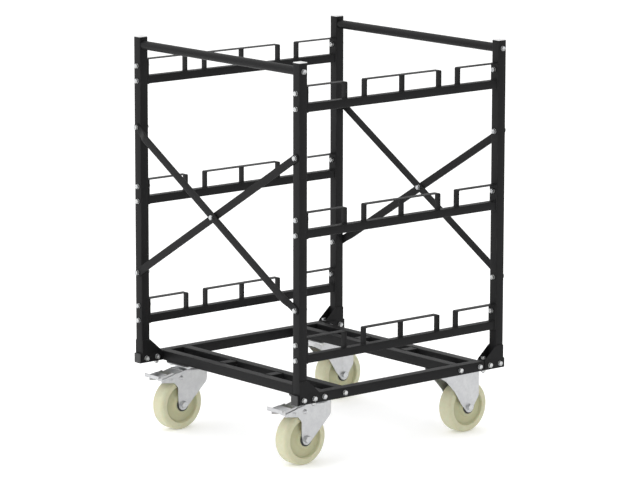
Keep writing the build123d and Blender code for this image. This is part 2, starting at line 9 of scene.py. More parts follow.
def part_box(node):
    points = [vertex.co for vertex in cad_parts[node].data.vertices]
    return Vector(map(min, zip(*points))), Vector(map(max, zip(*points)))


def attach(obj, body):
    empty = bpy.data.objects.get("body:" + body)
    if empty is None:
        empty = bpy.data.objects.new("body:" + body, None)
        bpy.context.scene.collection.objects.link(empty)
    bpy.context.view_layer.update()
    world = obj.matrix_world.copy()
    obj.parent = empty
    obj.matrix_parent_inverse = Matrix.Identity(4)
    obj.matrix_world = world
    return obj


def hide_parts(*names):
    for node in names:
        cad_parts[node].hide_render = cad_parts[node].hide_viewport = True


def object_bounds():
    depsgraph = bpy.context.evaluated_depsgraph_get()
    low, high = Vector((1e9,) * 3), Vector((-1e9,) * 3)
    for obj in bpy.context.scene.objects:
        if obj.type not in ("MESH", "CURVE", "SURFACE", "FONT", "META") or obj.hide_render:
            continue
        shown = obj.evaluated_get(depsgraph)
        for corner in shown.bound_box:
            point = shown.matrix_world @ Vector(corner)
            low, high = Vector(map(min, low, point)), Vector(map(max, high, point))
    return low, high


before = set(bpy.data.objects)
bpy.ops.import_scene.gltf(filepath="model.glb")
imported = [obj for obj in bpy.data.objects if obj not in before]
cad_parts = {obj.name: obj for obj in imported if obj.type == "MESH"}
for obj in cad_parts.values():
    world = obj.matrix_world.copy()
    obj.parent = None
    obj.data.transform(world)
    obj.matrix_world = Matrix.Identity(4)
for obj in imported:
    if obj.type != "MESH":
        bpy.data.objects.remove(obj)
cad_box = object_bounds()

# Rack trolley with slotted rails. Everything is in metres, in the CAD frame: X across, Y along, Z up.

# ---------- Sizes that the CAD boxes don't hold ----------
TUBE_WALL = 0.002
TUBE_CORNER = 0.0020
RAIL_SIDE = 0.025
PLUG_HEAD = 0.0025
END_PLATE = 0.0045           # plate welded on each end of a rail
LOOP_RISE = 0.0515           # top of the stop loops above the rail
LOOP_SHEET = 0.002
LOOP_BEND = 0.0035
LOOP_LEGS = (0.147, 0.223)   # outer leg of the double loop, leg of each half loop
BRACE_SHEET = 0.004
BRACE_WIDTH = 0.024
CHEEK_SHEET = 0.0025
CHEEK_RISE = 0.042
HEX_FLATS = 0.013            # M8 hexagons
HEAD_HEIGHT = 0.0053
NUT_HEIGHT = 0.0065
WASHER_RADIUS = 0.0075
WASHER = 0.0016
TAIL = 0.003                 # thread beyond a nut
FORK_INNER = 0.029           # fork legs from the wheel's middle
FORK_SHEET = 0.003
PLATE = 0.004                # caster top plates
PAD_MARGIN = 0.002           # pad beyond the plate
PLATE_CORNER = 0.008
CROWN_SHEET = 0.004
RACE = 0.036                 # ball race
PEDAL_PIN = (-0.045, 0.003)  # from the axle along Y, and above the top of the wheel
WHEEL_HALF = 0.025
AXLE_WASHER = 0.002
LEG_TIP = 0.017              # round leg end about the axle
HUB_HALF = 0.0265
RIM_RADIUS = 0.059           # inner edge of the tyre's flat side
DISH_RADIUS = 0.055
HUB_RADIUS = 0.028
BUSH_RADIUS = 0.0169         # bush in the wheel's bore
BUSH_FLANGE = 0.022
SHOULDER = 0.012             # rounding of the tread
AXLE_FLATS = 0.019           # M12 hexagons
AXLE_NUT = 0.0078
AXLE_WASHER_RADIUS = 0.012
CROWN_RADIUS = 0.043
FORK_BEND = 0.017            # swivel fork's front, in plan
FIXED_BEND = 0.020           # fixed fork's front, in plan
PEDAL_SHEET = 0.0025
PEDAL_SLOPE = 0.15
RIVET_RADIUS = 0.0058
RIVET_RISE = 0.0030
BEVEL = 0.0004
TONGUE = 0.022               # flat end of the tube brace beyond its bolt
TAPER = 0.034                # pressed part between the flat end and the tube
SIDES = ("left", "right")
ENDS = ("front", "rear")


# ---------- Mesh helpers ----------
def rounded_rect(width, height, radius, steps=5):
    """Outline of a rectangle with round corners, anticlockwise."""
    points = []
    for corner in range(4):
        cx = (width / 2 - radius) * (1 if corner in (0, 3) else -1)
        cy = (height / 2 - radius) * (1 if corner in (0, 1) else -1)
        for k in range(steps + 1):
            a = math.pi / 2 * (corner + k / steps)
            points.append((cx + radius * math.cos(a), cy + radius * math.sin(a)))
    return points


def rounded_polygon(corners, steps=5):
    """Outline through (x, y, radius) corners, each rounded by its own radius."""
    points = []
    count = len(corners)
    for i, (x, y, radius) in enumerate(corners):
        here = Vector((x, y))
        back = (Vector(corners[i - 1][:2]) - here)
        ahead = (Vector(corners[(i + 1) % count][:2]) - here)
        half = back.angle(ahead) / 2
        reach = min(radius / math.tan(half), 0.49 * min(back.length, ahead.length)) if radius else 0.0
        if reach < 1e-7 or half > 1.55:
            points.append((x, y))
            continue
        start, end = here + back.normalized() * reach, here + ahead.normalized() * reach
        middle = here + (back.normalized() + ahead.normalized()).normalized() * (reach / math.cos(half))
        r = (start - middle).length
        a0 = math.atan2(*(start - middle).yx)
        turn = (math.atan2(*(end - middle).yx) - a0 + math.pi) % (2 * math.pi) - math.pi
        for k in range(steps + 1):
            a = a0 + turn * k / steps
            points.append((middle.x + r * math.cos(a), middle.y + r * math.sin(a)))
    return points


def inset(outline, depth):
    """The same outline moved inwards by a depth, for anticlockwise points."""
    moved = []
    count = len(outline)
    for i in range(count):
        a, b, c = (Vector(outline[(i + k) % count]) for k in (-1, 0, 1))
        d1, d2 = (b - a).normalized(), (c - b).normalized()
        n1, n2 = Vector((-d1.y, d1.x)), Vector((-d2.y, d2.x))
        mitre = (n1 + n2) / max(1.0 + n1.dot(n2), 0.35)
        moved.append(tuple(b + mitre * depth))
    return moved


def area(outline):
    """Signed area of an outline, positive when anticlockwise."""
    return sum(a[0] * b[1] - b[0] * a[1] for a, b in zip(outline, outline[1:] + outline[:1])) / 2


def basis(origin, x, z):
    """Matrix whose X and Z axes run along the given directions."""
    z = Vector(z).normalized()
    x = (Vector(x) - z * Vector(x).dot(z)).normalized()
    y = z.cross(x)
    return Matrix.Translation(origin) @ Matrix((x, y, z)).transposed().to_4x4()


def skin(bm, rings, wrap=False, caps=True):
    """Quads between rings of points. Caps close the two ends, and wrap joins the last ring to the first."""
    made = [[bm.verts.new(p) for p in ring] for ring in rings]
    pairs = list(zip(made, made[1:])) + ([(made[-1], made[0])] if wrap else [])
    for one, two in pairs:
        for i in range(len(one)):
            j = (i + 1) % len(one)
            bm.faces.new((one[i], one[j], two[j], two[i]))
    if caps and not wrap:
        bm.faces.new(list(reversed(made[0])))
        bm.faces.new(made[-1])


def at(place, outline, height):
    """An outline's points at a height in a placed frame."""
    return [place @ Vector((p[0], p[1], height)) for p in outline]


def prism(bm, place, outline, thickness, bevel=BEVEL):
    """Plate with bevelled edges, rising along the placed frame's Z."""
    if area(outline) < 0:
        outline = list(reversed(outline))
    small = inset(outline, bevel)
    skin(bm, [at(place, small, 0), at(place, outline, bevel),
              at(place, outline, thickness - bevel), at(place, small, thickness)])


def tube(bm, place, outline, wall, length, bevel=BEVEL):
    """Hollow section with bevelled ends, along the placed frame's Z."""
    small, bore = inset(outline, bevel), inset(outline, wall)
    skin(bm, [at(place, small, 0), at(place, outline, bevel), at(place, outline, length - bevel),
              at(place, small, length), at(place, bore, length), at(place, bore, 0)], wrap=True)


def circle(radius, steps):
    return [(radius * math.cos(2 * math.pi * k / steps), radius * math.sin(2 * math.pi * k / steps))
            for k in range(steps)]


def lathe(bm, place, profile, steps=48, wrap=False):
    """Body of revolution about the placed frame's Z, from (radius, height) points going up the outside."""
    skin(bm, [at(place, circle(max(r, 1e-5), steps), h) for r, h in profile], wrap=wrap)


def arc(cx, cy, radius, start, end, steps=6):
    """Points of an arc, angles in degrees."""
    turns = [math.radians(start + (end - start) * k / steps) for k in range(steps + 1)]
    return [(cx + radius * math.cos(a), cy + radius * math.sin(a)) for a in turns]


def sweep(bm, path, side, section):
    """Section of (across, off) points carried along a path; across runs along the side vector."""
    rings = []
    for i, point in enumerate(path):
        ahead = path[min(i + 1, len(path) - 1)] - path[max(i - 1, 0)]
        off = ahead.cross(side).normalized()
        rings.append([point + side * a + off * b for a, b in section])
    skin(bm, rings)


def bead(bm, path, radius=0.0016, pitch=0.0028):
    """Weld bead: a lumpy round string laid along a line of points."""
    points = []
    for a, b in zip(path, path[1:]):
        count = max(2, round((b - a).length / (pitch / 3)))
        points += [a.lerp(b, k / count) for k in range(count)]
    points.append(path[-1])
    travelled, rings = 0.0, []
    for i, p in enumerate(points):
        d = points[min(i + 1, len(points) - 1)] - points[max(i - 1, 0)]
        if i:
            travelled += (p - points[i - 1]).length
        d = d.normalized() if d.length else Vector((0, 0, 1))
        side = d.orthogonal().normalized() if abs(d.z) > 0.9 else Vector((0, 0, 1)).cross(d).normalized()
        up = d.cross(side)
        wave = 1 + 0.16 * math.cos(2 * math.pi * travelled / pitch) + 0.07 * math.sin(531 * travelled)
        taper = min(1.0, (min(i, len(points) - 1 - i) + 1) / 3)
        r = radius * wave * taper
        rings.append([p + side * (r * math.cos(t)) + up * (r * math.sin(t))
                      for t in (2 * math.pi * k / 8 for k in range(8))])
    skin(bm, rings)


def box_bead(bm, centre, half_x, half_y, axis, radius=0.0016):
    """Weld bead round a rectangle that lies across an axis."""
    x = Vector((1, 0, 0)) if axis != "x" else Vector((0, 1, 0))
    y = Vector((0, 0, 1)) if axis == "y" else Vector((0, 1, 0))
    corners = [centre + x * (half_x * a) + y * (half_y * b)
               for a, b in ((1, 1), (-1, 1), (-1, -1), (1, -1), (1, 1))]
    bead(bm, corners, radius)


def turns_corner(face):
    """True for a narrow face whose long sides lead to faces that look different ways."""
    sides = sorted(face.edges, key=lambda e: -e.calc_length())[:2]
    if face.calc_area() > 0.001 * sides[0].calc_length():
        return False
    beyond = [f.normal for e in sides for f in e.link_faces if f is not face]
    return len(beyond) == 2 and beyond[0].dot(beyond[1]) < 0.9


def piece(name, bm, slot, body, nodes, smooth_angle=35, tread_of=None):
    """Turns a mesh into a piece that rides on a body and stands for its CAD nodes."""
    bmesh.ops.remove_doubles(bm, verts=bm.verts, dist=1e-7)
    bmesh.ops.recalc_face_normals(bm, faces=bm.faces)
    edge = bm.faces.layers.float.new("edge")
    bm.normal_update()
    for face in bm.faces:
        face[edge] = float(turns_corner(face))
    if tread_of:
        tread, dish_shade = (bm.verts.layers.float.new(word) for word in ("tread", "dish_shade"))
        axle, radius = tread_of
        for v in bm.verts:
            reach = math.hypot(v.co.y - axle.y, v.co.z - axle.z)
            v[tread] = min(max((reach - 0.86 * radius) / (0.13 * radius), 0.0), 1.0)
            # Painted shade mask: 1 inside the wheel's recessed dish, where the nylon colour is darkened.
            v[dish_shade] = min(max((0.74 * radius - reach) / 0.002, 0.0), 1.0)
    mesh = bpy.data.meshes.new(name)
    bm.to_mesh(mesh)
    bm.free()
    mesh.shade_smooth()
    mesh.set_sharp_from_angle(angle=math.radians(smooth_angle))
    mesh.materials.append(SURFACES[slot])
    made = bpy.data.objects.new(name, mesh)
    bpy.context.scene.collection.objects.link(made)
    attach(made, body)
    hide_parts(*nodes)
    return made


@lru_cache(maxsize=None)
def solids(node):
    """Points of each separate solid in a CAD node, as a list of point lists."""
    bm = bmesh.new()
    bm.from_mesh(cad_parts[node].data)
    bmesh.ops.remove_doubles(bm, verts=bm.verts, dist=1e-6)
    bm.verts.ensure_lookup_table()
    seen, found = set(), []
    for first in bm.verts:
        if first in seen:
            continue
        seen.add(first)
        stack, points = [first], []
        while stack:
            v = stack.pop()
            points.append(v.co.copy())
            for other in (e.other_vert(v) for e in v.link_edges):
                if other not in seen:
                    seen.add(other)
                    stack.append(other)
        found.append(points)
    bm.free()
    return sorted(found, key=lambda points: tuple(points[0]))


def extent(points):
    """Lowest and highest corner of a list of points."""
    return tuple(Vector(pick(p[k] for p in points) for k in range(3)) for pick in (min, max))


def centre_of(node):
    lo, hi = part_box(node)
    return (lo + hi) / 2


def along(lo, hi, axis):
    """Frame at a box's low end with its Z along an axis, and the box's width, height and length there."""
    k = "xyz".index(axis)
    origin = (lo + hi) / 2
    origin[k] = lo[k]
    size = hi - lo
    x = Vector((1, 0, 0)) if k else Vector((0, 1, 0))
    z = Vector((0, 0, 0))
    z[k] = 1
    return basis(origin, x, z), size.x if k else size.y, size.z if k < 2 else size.y, size[k]


# ---------- Materials ----------
class Surface:
    """A Principled material with short calls for the nodes that feed it."""

    def __init__(self, name, constants):
        self.made = bpy.data.materials.new(name)
        self.made.use_nodes = True
        self.tree = self.made.node_tree
        self.shader = self.tree.nodes["Principled BSDF"]
        for socket, value in constants.items():
            self.shader.inputs[socket].default_value = value
        self.place = self.tree.nodes.new("ShaderNodeTexCoord").outputs["Object"]

    def link(self, source, node, socket):
        self.tree.links.new(source, node.inputs[socket])

    def noise(self, scale, detail=3.0, stretch=(1, 1, 1), rough=0.55):
        """Noise with about scale grains to the metre."""
        mapping = self.tree.nodes.new("ShaderNodeMapping")
        mapping.inputs["Scale"].default_value = stretch
        self.link(self.place, mapping, "Vector")
        node = self.tree.nodes.new("ShaderNodeTexNoise")
        node.inputs["Scale"].default_value = scale
        node.inputs["Detail"].default_value = detail
        node.inputs["Roughness"].default_value = rough
        self.link(mapping.outputs["Vector"], node, "Vector")
        return node.outputs["Fac"]

    def cells(self, scale):
        """Irregular crystals, each with its own shade."""
        node = self.tree.nodes.new("ShaderNodeTexVoronoi")
        node.inputs["Scale"].default_value = scale
        self.link(self.place, node, "Vector")
        split = self.tree.nodes.new("ShaderNodeSeparateColor")
        self.link(node.outputs["Color"], split, "Color")
        return split.outputs["Red"]

    def attribute(self, name):
        node = self.tree.nodes.new("ShaderNodeAttribute")
        node.attribute_name = name
        return node.outputs["Fac"]

    def ramp(self, source, low, high, start=0.0, end=1.0):
        """The source between low and high, spread from start to end."""
        node = self.tree.nodes.new("ShaderNodeMapRange")
        for socket, value in (("From Min", low), ("From Max", high), ("To Min", start), ("To Max", end)):
            node.inputs[socket].default_value = value
        self.link(source, node, "Value")
        return node.outputs["Result"]

    def maths(self, operation, one, two):
        node = self.tree.nodes.new("ShaderNodeMath")
        node.operation = operation
        for k, value in enumerate((one, two)):
            if isinstance(value, (int, float)):
                node.inputs[k].default_value = value
            else:
                self.tree.links.new(value, node.inputs[k])
        return node.outputs["Value"]

    def blend(self, amount, one, two):
        """Colour that goes from one to two with the amount."""
        node = self.tree.nodes.new("ShaderNodeMix")
        node.data_type = "RGBA"
        self.tree.links.new(amount, node.inputs[0])
        for k, value in ((6, one), (7, two)):
            if isinstance(value, tuple):
                node.inputs[k].default_value = (*value, 1.0)
            else:
                self.tree.links.new(value, node.inputs[k])
        return node.outputs[2]

    def bump(self, heights):
        """Bumps from (height source, depth in metres) pairs, the coarse ones first."""
        normal = None
        for source, depth in heights:
            node = self.tree.nodes.new("ShaderNodeBump")
            node.inputs["Strength"].default_value = 1.0
            node.inputs["Distance"].default_value = depth
            self.link(source, node, "Height")
            if normal:
                self.link(normal, node, "Normal")
            normal = node.outputs["Normal"]
        self.link(normal, self.shader, "Normal")

    def finish(self, colour, rough):
        self.link(colour, self.shader, "Base Color")
        self.link(rough, self.shader, "Roughness")
        return self.made


def powder_coat():
    """Satin black powder coat: orange peel, pale patches of dust, paint rubbed thin on the edges."""
    s = Surface("black_powder_coat", {"Specular IOR Level": 0.13})
    cloud = s.noise(9, 4)
    peel = s.noise(620, 2)
    grit = s.noise(2600, 2)
    scuff = s.noise(55, 6, stretch=(1, 1, 0.3), rough=0.7)
    tone = s.blend(s.ramp(cloud, 0.3, 0.7), (0.0075, 0.0075, 0.0079), (0.0110, 0.0110, 0.0116))
    rubbed = s.maths("MULTIPLY", s.attribute("edge"), s.ramp(scuff, 0.47, 0.66))
    tone = s.blend(s.maths("MULTIPLY", rubbed, 0.30), tone, (0.045, 0.044, 0.043))
    tone = s.blend(s.ramp(scuff, 0.66, 0.80, 0.0, 0.25), tone, (0.030, 0.030, 0.029))
    rough = s.maths("ADD", s.ramp(cloud, 0.3, 0.7, 0.40, 0.50), s.ramp(grit, 0.3, 0.7, -0.05, 0.05))
    s.bump([(peel, 0.00016), (grit, 0.00003)])
    return s.finish(tone, rough)


def zinc_sheet():
    """Bright zinc on pressed steel: rolled grain, faint crystals, cloudy passivation."""
    s = Surface("zinc_sheet", {"Metallic": 1.0})
    grain = s.noise(900, 3, stretch=(1, 0.12, 1))
    cloud = s.noise(38, 5)
    flower = s.cells(160)
    tone = s.blend(s.ramp(cloud, 0.32, 0.68), (0.50, 0.505, 0.515), (0.60, 0.605, 0.61))
    tone = s.blend(s.ramp(flower, 0, 1, 0.0, 0.16), tone, (0.40, 0.41, 0.43))
    # Painted highlight: the narrow faces that turn corners are lightened towards near white.
    tone = s.blend(s.maths("MULTIPLY", s.attribute("edge"), 0.35), tone, (0.86, 0.87, 0.88))
    rough = s.maths("ADD", s.ramp(cloud, 0.3, 0.7, 0.30, 0.42), s.ramp(flower, 0, 1, -0.03, 0.04))
    s.bump([(cloud, 0.00020), (grain, 0.00004)])
    return s.finish(tone, rough)


def zinc_hardware():
    """Bright zinc on turned and forged hardware, with a hint of blue and straw."""
    s = Surface("zinc_hardware", {"Metallic": 1.0})
    tint = s.noise(120, 3)
    fine = s.noise(1800, 3)
    tone = s.blend(s.ramp(tint, 0.3, 0.7), (0.50, 0.515, 0.54), (0.60, 0.60, 0.58))
    rough = s.ramp(fine, 0.3, 0.7, 0.22, 0.36)
    s.bump([(fine, 0.00005)])
    return s.finish(tone, rough)


def cast_nylon():
    """Cast cream nylon: soft, faintly mottled and turned, with a scuffed and dusty tread."""
    s = Surface("cast_nylon", {"Subsurface Weight": 0.18, "Subsurface Scale": 0.004})
    mottle = s.noise(70, 4)
    fine = s.noise(1500, 2)
    dust = s.noise(240, 5, rough=0.7)
    tread = s.attribute("tread")
    tone = s.blend(s.ramp(mottle, 0.3, 0.7), (0.56, 0.55, 0.36), (0.61, 0.60, 0.42))
    # Painted shade: the recessed dish is darkened and yellowed, standing in for the shade inside the recess.
    tone = s.blend(s.maths("MULTIPLY", s.attribute("dish_shade"), 0.55), tone, (0.36, 0.355, 0.19))
    worn = s.maths("MULTIPLY", tread, s.ramp(dust, 0.40, 0.70, 0.25, 1.0))
    tone = s.blend(s.maths("MULTIPLY", worn, 0.30), tone, (0.50, 0.49, 0.37))
    rough = s.maths("ADD", s.ramp(mottle, 0.3, 0.7, 0.38, 0.47), s.maths("MULTIPLY", worn, 0.16))
    turned = s.noise(1100, 1, stretch=(1, 0.05, 0.05))
    s.bump([(turned, 0.00004), (fine, 0.00003), (s.maths("MULTIPLY", worn, dust), 0.00012)])
    return s.finish(tone, rough)


def moulded(name, dark, light, rough):
    """Moulded plastic with a fine spark-eroded grain."""
    s = Surface(name, {})
    grain = s.noise(2200, 3)
    cloud = s.noise(60, 3)
    tone = s.blend(s.ramp(cloud, 0.3, 0.7), dark, light)
    rubbed = tuple(min(1.0, c * 1.6) for c in light)
    tone = s.blend(s.maths("MULTIPLY", s.attribute("edge"), 0.2), tone, rubbed)
    s.bump([(grain, 0.00006)])
    return s.finish(tone, s.ramp(grain, 0.3, 0.7, rough - 0.06, rough + 0.08))


SURFACES = {
    "black_paint": powder_coat(),
    "zinc": zinc_sheet(),
    "bolt_zinc": zinc_hardware(),
    "nylon": cast_nylon(),
    "hub_black": moulded("hub_plastic", (0.018, 0.018, 0.018), (0.028, 0.028, 0.028), 0.42),
    "plug_black": moulded("plug_plastic", (0.020, 0.020, 0.021), (0.030, 0.030, 0.031), 0.50),
    "cap_grey": moulded("cap_plastic", (0.60, 0.60, 0.60), (0.68, 0.68, 0.68), 0.45),
}


# ---------- Square tubes, posts and plugs ----------
def square_tube(bm, lo, hi, axis):
    place, width, height, length = along(lo, hi, axis)
    tube(bm, place, rounded_rect(width, height, TUBE_CORNER), TUBE_WALL, length)


def tube_cap(bm, lo, hi, axis, sign):
    """Head of a tube plug: a thin square cushion with a soft edge, and its skirt inside the tube."""
    k = "xyz".index(axis)
    head = PLUG_HEAD
    face = hi[k] if sign > 0 else lo[k]
    origin = (lo + hi) / 2
    origin[k] = face - sign * head
    z = Vector((0, 0, 0))
    z[k] = sign
    place = basis(origin, Vector((1, 0, 0)) if k else Vector((0, 1, 0)), z)
    side = min(s for i, s in enumerate(hi - lo) if i != k)
    rings = [(0.0002, 0.0), (0.0, 0.0003), (0.0, head * 0.45), (0.0004, head * 0.72), (0.0012, head * 0.90),
             (0.0026, head * 0.97), (0.0060, head)]
    outline = rounded_rect(side, side, TUBE_CORNER)
    skin(bm, [at(place, rounded_rect(side - 2 * d, side - 2 * d, max(TUBE_CORNER - d * 0.4, 0.0008)), h)
              for d, h in rings])
    skirt = inset(outline, TUBE_WALL + 0.0003)
    skin(bm, [at(place, skirt, -0.010), at(place, skirt, 0.0001)])


for node in ("side_beam_left", "side_beam_right"):
    bm = bmesh.new()
    square_tube(bm, *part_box(node), "y")
    piece(node + ".tube", bm, "black_paint", "frame", [node])

for node in [f"cross_beam_{end}_{row}" for end in ENDS for row in ("outer", "inner")]:
    bm = bmesh.new()
    square_tube(bm, *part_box(node), "x")
    piece(node + ".tube", bm, "black_paint", "frame", [node])

bm = bmesh.new()
for lo, hi in map(extent, solids("deck_stringers")):
    square_tube(bm, lo, hi, "y")
    middle = (lo + hi) / 2
    for y in (lo.y, hi.y):
        box_bead(bm, Vector((middle.x, y, middle.z)), (hi.x - lo.x) / 2, (hi.z - lo.z) / 2, "y")
piece("deck_stringers.tubes", bm, "black_paint", "frame", ["deck_stringers"])

bm = bmesh.new()
for lo, hi in map(extent, solids("beam_end_plugs")):
    tube_cap(bm, lo, hi, "y", math.copysign(1, lo.y + hi.y))
piece("beam_end_plugs.caps", bm, "plug_black", "frame", ["beam_end_plugs"])

for node in [f"post_{end}_{side}" for end in ENDS for side in SIDES]:
    bm = bmesh.new()
    square_tube(bm, *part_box(node), "z")
    piece(node + ".tube", bm, "black_paint", "frame", [node])

bm = bmesh.new()
for lo, hi in map(extent, solids("post_top_caps")):
    tube_cap(bm, lo, hi, "z", 1)
piece("post_top_caps.caps", bm, "cap_grey", "frame", ["post_top_caps"])


# ---------- Foot brackets ----------
for end, sign in zip(ENDS, (-1, 1)):
    node = "foot_brackets_" + end
    bm = bmesh.new()
    for lo, hi in map(extent, solids(node)):
        deck = hi.z - CHEEK_RISE
        outer, tail = (hi.y, lo.y) if sign > 0 else (lo.y, hi.y)
        inner = outer - sign * (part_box("post_front_left")[1].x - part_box("post_front_left")[0].x)
        outline = rounded_polygon([(outer, lo.z, 0.002), (outer, hi.z, 0.003), (inner, hi.z, 0.004),
                                   (tail, deck + CHEEK_SHEET, 0.003), (tail, lo.z, 0.004)], 4)
        for x in (lo.x, hi.x - CHEEK_SHEET):
            prism(bm, basis((x, 0, 0), (0, 1, 0), (1, 0, 0)), outline, CHEEK_SHEET)
            face = x + CHEEK_SHEET if x == lo.x else x
            bead(bm, [Vector((face, outer - sign * 0.003, hi.z)), Vector((face, inner, hi.z))])
            bead(bm, [Vector((face, inner, hi.z - 0.004)), Vector((face, inner, deck + CHEEK_SHEET))])
        strap = basis(((lo.x + hi.x) / 2, (inner + tail) / 2, deck), (1, 0, 0), (0, 0, 1))
        prism(bm, strap, rounded_rect(hi.x - lo.x, abs(inner - tail), 0.0015), CHEEK_SHEET)
        bead(bm, [Vector((x, inner, deck + CHEEK_SHEET)) for x in (lo.x + 0.004, hi.x - 0.004)])
    piece(node + ".plates", bm, "black_paint", "frame", [node])


# ---------- Push bars ----------
for end in ENDS:
    node = "push_bar_" + end
    place, width, height, length = along(*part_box(node), "x")
    bm = bmesh.new()
    r = height / 2
    lathe(bm, place, [(r - TUBE_WALL, 0), (r - BEVEL, 0), (r, BEVEL), (r, length - BEVEL),
                      (r - BEVEL, length), (r - TUBE_WALL, length)], 64, wrap=True)
    piece(node + ".tube", bm, "black_paint", "frame", [node])


# ---------- Slotted rails ----------
def bent_path(corners, radius, steps=6):
    """Line through (y, z) corners with rounded bends."""
    path = [Vector(corners[0])]
    for before, here, after in zip(corners, corners[1:], corners[2:]):
        here, back, ahead = Vector(here), Vector(before) - Vector(here), Vector(after) - Vector(here)
        half = back.angle(ahead) / 2
        reach = radius / math.tan(half)
        start, end = here + back.normalized() * reach, here + ahead.normalized() * reach
        middle = here + (back.normalized() + ahead.normalized()).normalized() * (radius / math.sin(half))
        one, two = start - middle, end - middle
        turn = one.angle_signed(two)
        path += [middle + Matrix.Rotation(-turn * k / steps, 2) @ one for k in range(steps + 1)]
    return path + [Vector(corners[-1])]


def strip(bm, x, corners, width, sheet, radius):
    """Strip of sheet bent along (y, z) corners, its width along X."""
    path = [Vector((x, p[0], p[1])) for p in bent_path(corners, radius)]
    section = rounded_rect(width, sheet, min(0.0006, sheet * 0.3), 2)
    sweep(bm, path, Vector((1, 0, 0)), section)


def rail(level, side):
    node = f"rail_{level}_{side}"
    lo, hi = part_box(node)
    x, top = (lo.x + hi.x) / 2, hi.z - LOOP_RISE
    half = RAIL_SIDE / 2
    bm = bmesh.new()
    square_tube(bm, Vector((x - half, lo.y + END_PLATE, top - RAIL_SIDE)),
                Vector((x + half, hi.y - END_PLATE, top)), "y")
    for y, weld in ((lo.y, lo.y + END_PLATE), (hi.y - END_PLATE, hi.y - END_PLATE)):
        place = basis((x, y, (lo.z + hi.z) / 2), (1, 0, 0), (0, 1, 0))
        prism(bm, place, rounded_rect(hi.x - lo.x, hi.z - lo.z, 0.002, 4), END_PLATE)
        box_bead(bm, Vector((x, weld, top - half)), half, half, "y")
    piece(node + ".tube", bm, "black_paint", "frame", [node])


def stop_loops(level, side):
    node = f"stop_loops_{level}_{side}"
    lo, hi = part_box(node)
    x, width = (lo.x + hi.x) / 2, hi.x - lo.x
    crest = hi.z - LOOP_SHEET / 2
    inner, outer = LOOP_LEGS
    bm = bmesh.new()
    loops = [[(-inner, lo.z), (-inner, crest), (inner, crest), (inner, lo.z)],
             [(0, lo.z), (0, crest - LOOP_SHEET / 2)]]
    loops += [[(leg, lo.z), (leg, crest), (end, crest)] for leg, end in ((-outer, lo.y), (outer, hi.y))]
    for corners in loops:
        strip(bm, x, corners, width, LOOP_SHEET, LOOP_BEND)
    for end in (lo.y, hi.y):
        bead(bm, [Vector((x + a, end, crest - LOOP_SHEET / 2)) for a in (-width / 2, width / 2)], 0.0014)
    for leg in (-outer, -inner, 0, inner, outer):
        for face in (-1, 1):
            y = leg + face * LOOP_SHEET / 2
            bead(bm, [Vector((x + a, y, lo.z)) for a in (-width / 2, width / 2)], 0.0015)
    piece(node + ".strips", bm, "black_paint", "frame", [node])


for side in SIDES:
    for level in ("low", "middle", "top"):
        rail(level, side)
        stop_loops(level, side)


# ---------- Crossed braces ----------
def brace_frame(node, end, slope):
    """Frame at a brace's first bolt, X along it and Z outwards, and the length between its end bolts."""
    lo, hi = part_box(node)
    half = BRACE_WIDTH / 2
    xs = (lo.x + half, hi.x - half) if end == "front" else (hi.x - half, lo.x + half)
    zs = (lo.z + half, hi.z - half) if slope > 0 else (hi.z - half, lo.z + half)
    start = Vector((xs[0], hi.y if end == "front" else lo.y, zs[0]))
    run = Vector((xs[1] - xs[0], 0, zs[1] - zs[0]))
    return basis(start, run, (0, -1 if end == "front" else 1, 0)), run.length


def smooth(t):
    t = min(max(t, 0.0), 1.0)
    return t * t * (3 - 2 * t)


for end in ENDS:
    node = "brace_flat_" + end
    place, run = brace_frame(node, end, 1)
    bm = bmesh.new()
    r = BRACE_WIDTH / 2
    prism(bm, place, arc(0, 0, r, 90, 270, 14) + arc(run, 0, r, -90, 90, 14), BRACE_SHEET, 0.0005)
    piece(node + ".bar", bm, "black_paint", "frame", [node])

    node = "brace_tube_" + end
    place, run = brace_frame(node, end, -1)
    lo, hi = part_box(node)
    depth = hi.y - lo.y - BRACE_SHEET
    stations = [(-r * math.cos(math.radians(t)), 2 * r * math.sin(math.radians(t)), 0.0)
                for t in (8, 16, 26, 38, 50, 63, 76, 90)]
    stations += [(TONGUE + TAPER * k / 14, BRACE_WIDTH, smooth(k / 14)) for k in range(15)]
    stations += [(run - a, width, press) for a, width, press in reversed(stations)]
    rings = []
    for a, width, press in stations:
        thick = BRACE_SHEET + (depth - BRACE_SHEET) * press
        low = BRACE_SHEET * press
        corner = min(0.0012 + 0.0016 * press, width / 2.1)
        section = rounded_rect(width, thick, corner, 5)
        rings.append([place @ Vector((a, p[0], low + thick / 2 + p[1])) for p in section])
    bm = bmesh.new()
    skin(bm, rings)
    piece(node + ".tube", bm, "black_paint", "frame", [node])


# ---------- Bolts ----------
def hexagon(bm, place, flats, low, high, turn, both=False):
    """Hexagon with its corners turned off by a 30 degree cone, on one face or on both."""
    steps, corner = 8, flats / 2 / math.cos(math.pi / 6)
    crown = 0.95 * flats / 2
    outline = []
    for k in range(6):
        a = [corner * f(turn + math.pi / 3 * k) for f in (math.cos, math.sin)]
        b = [corner * f(turn + math.pi / 3 * (k + 1)) for f in (math.cos, math.sin)]
        shares = [i / steps for i in range(steps)]
        outline += [(a[0] + (b[0] - a[0]) * t, a[1] + (b[1] - a[1]) * t) for t in shares]

    def cone(p, height, sense):
        return place @ Vector((p[0], p[1], height - sense * 0.577 * max(math.hypot(*p) - crown, 0.0)))

    def disc(height, share):
        shrunk = [Vector(p).normalized() * share * crown for p in outline]
        return [place @ Vector((p.x, p.y, height)) for p in shrunk]

    rings = [disc(low, 1.0), [cone(p, low, -1) for p in outline]] if both else [at(place, outline, low)]
    rings += [[cone(p, high, 1) for p in outline], disc(high, 1.0), disc(high - 0.00015, 0.93)]
    skin(bm, rings)


def washer(bm, place, radius, low, high):
    lathe(bm, place, [(radius - 0.0003, low), (radius, low + 0.0003), (radius, high - 0.0003),
                      (radius - 0.0003, high)], 40)


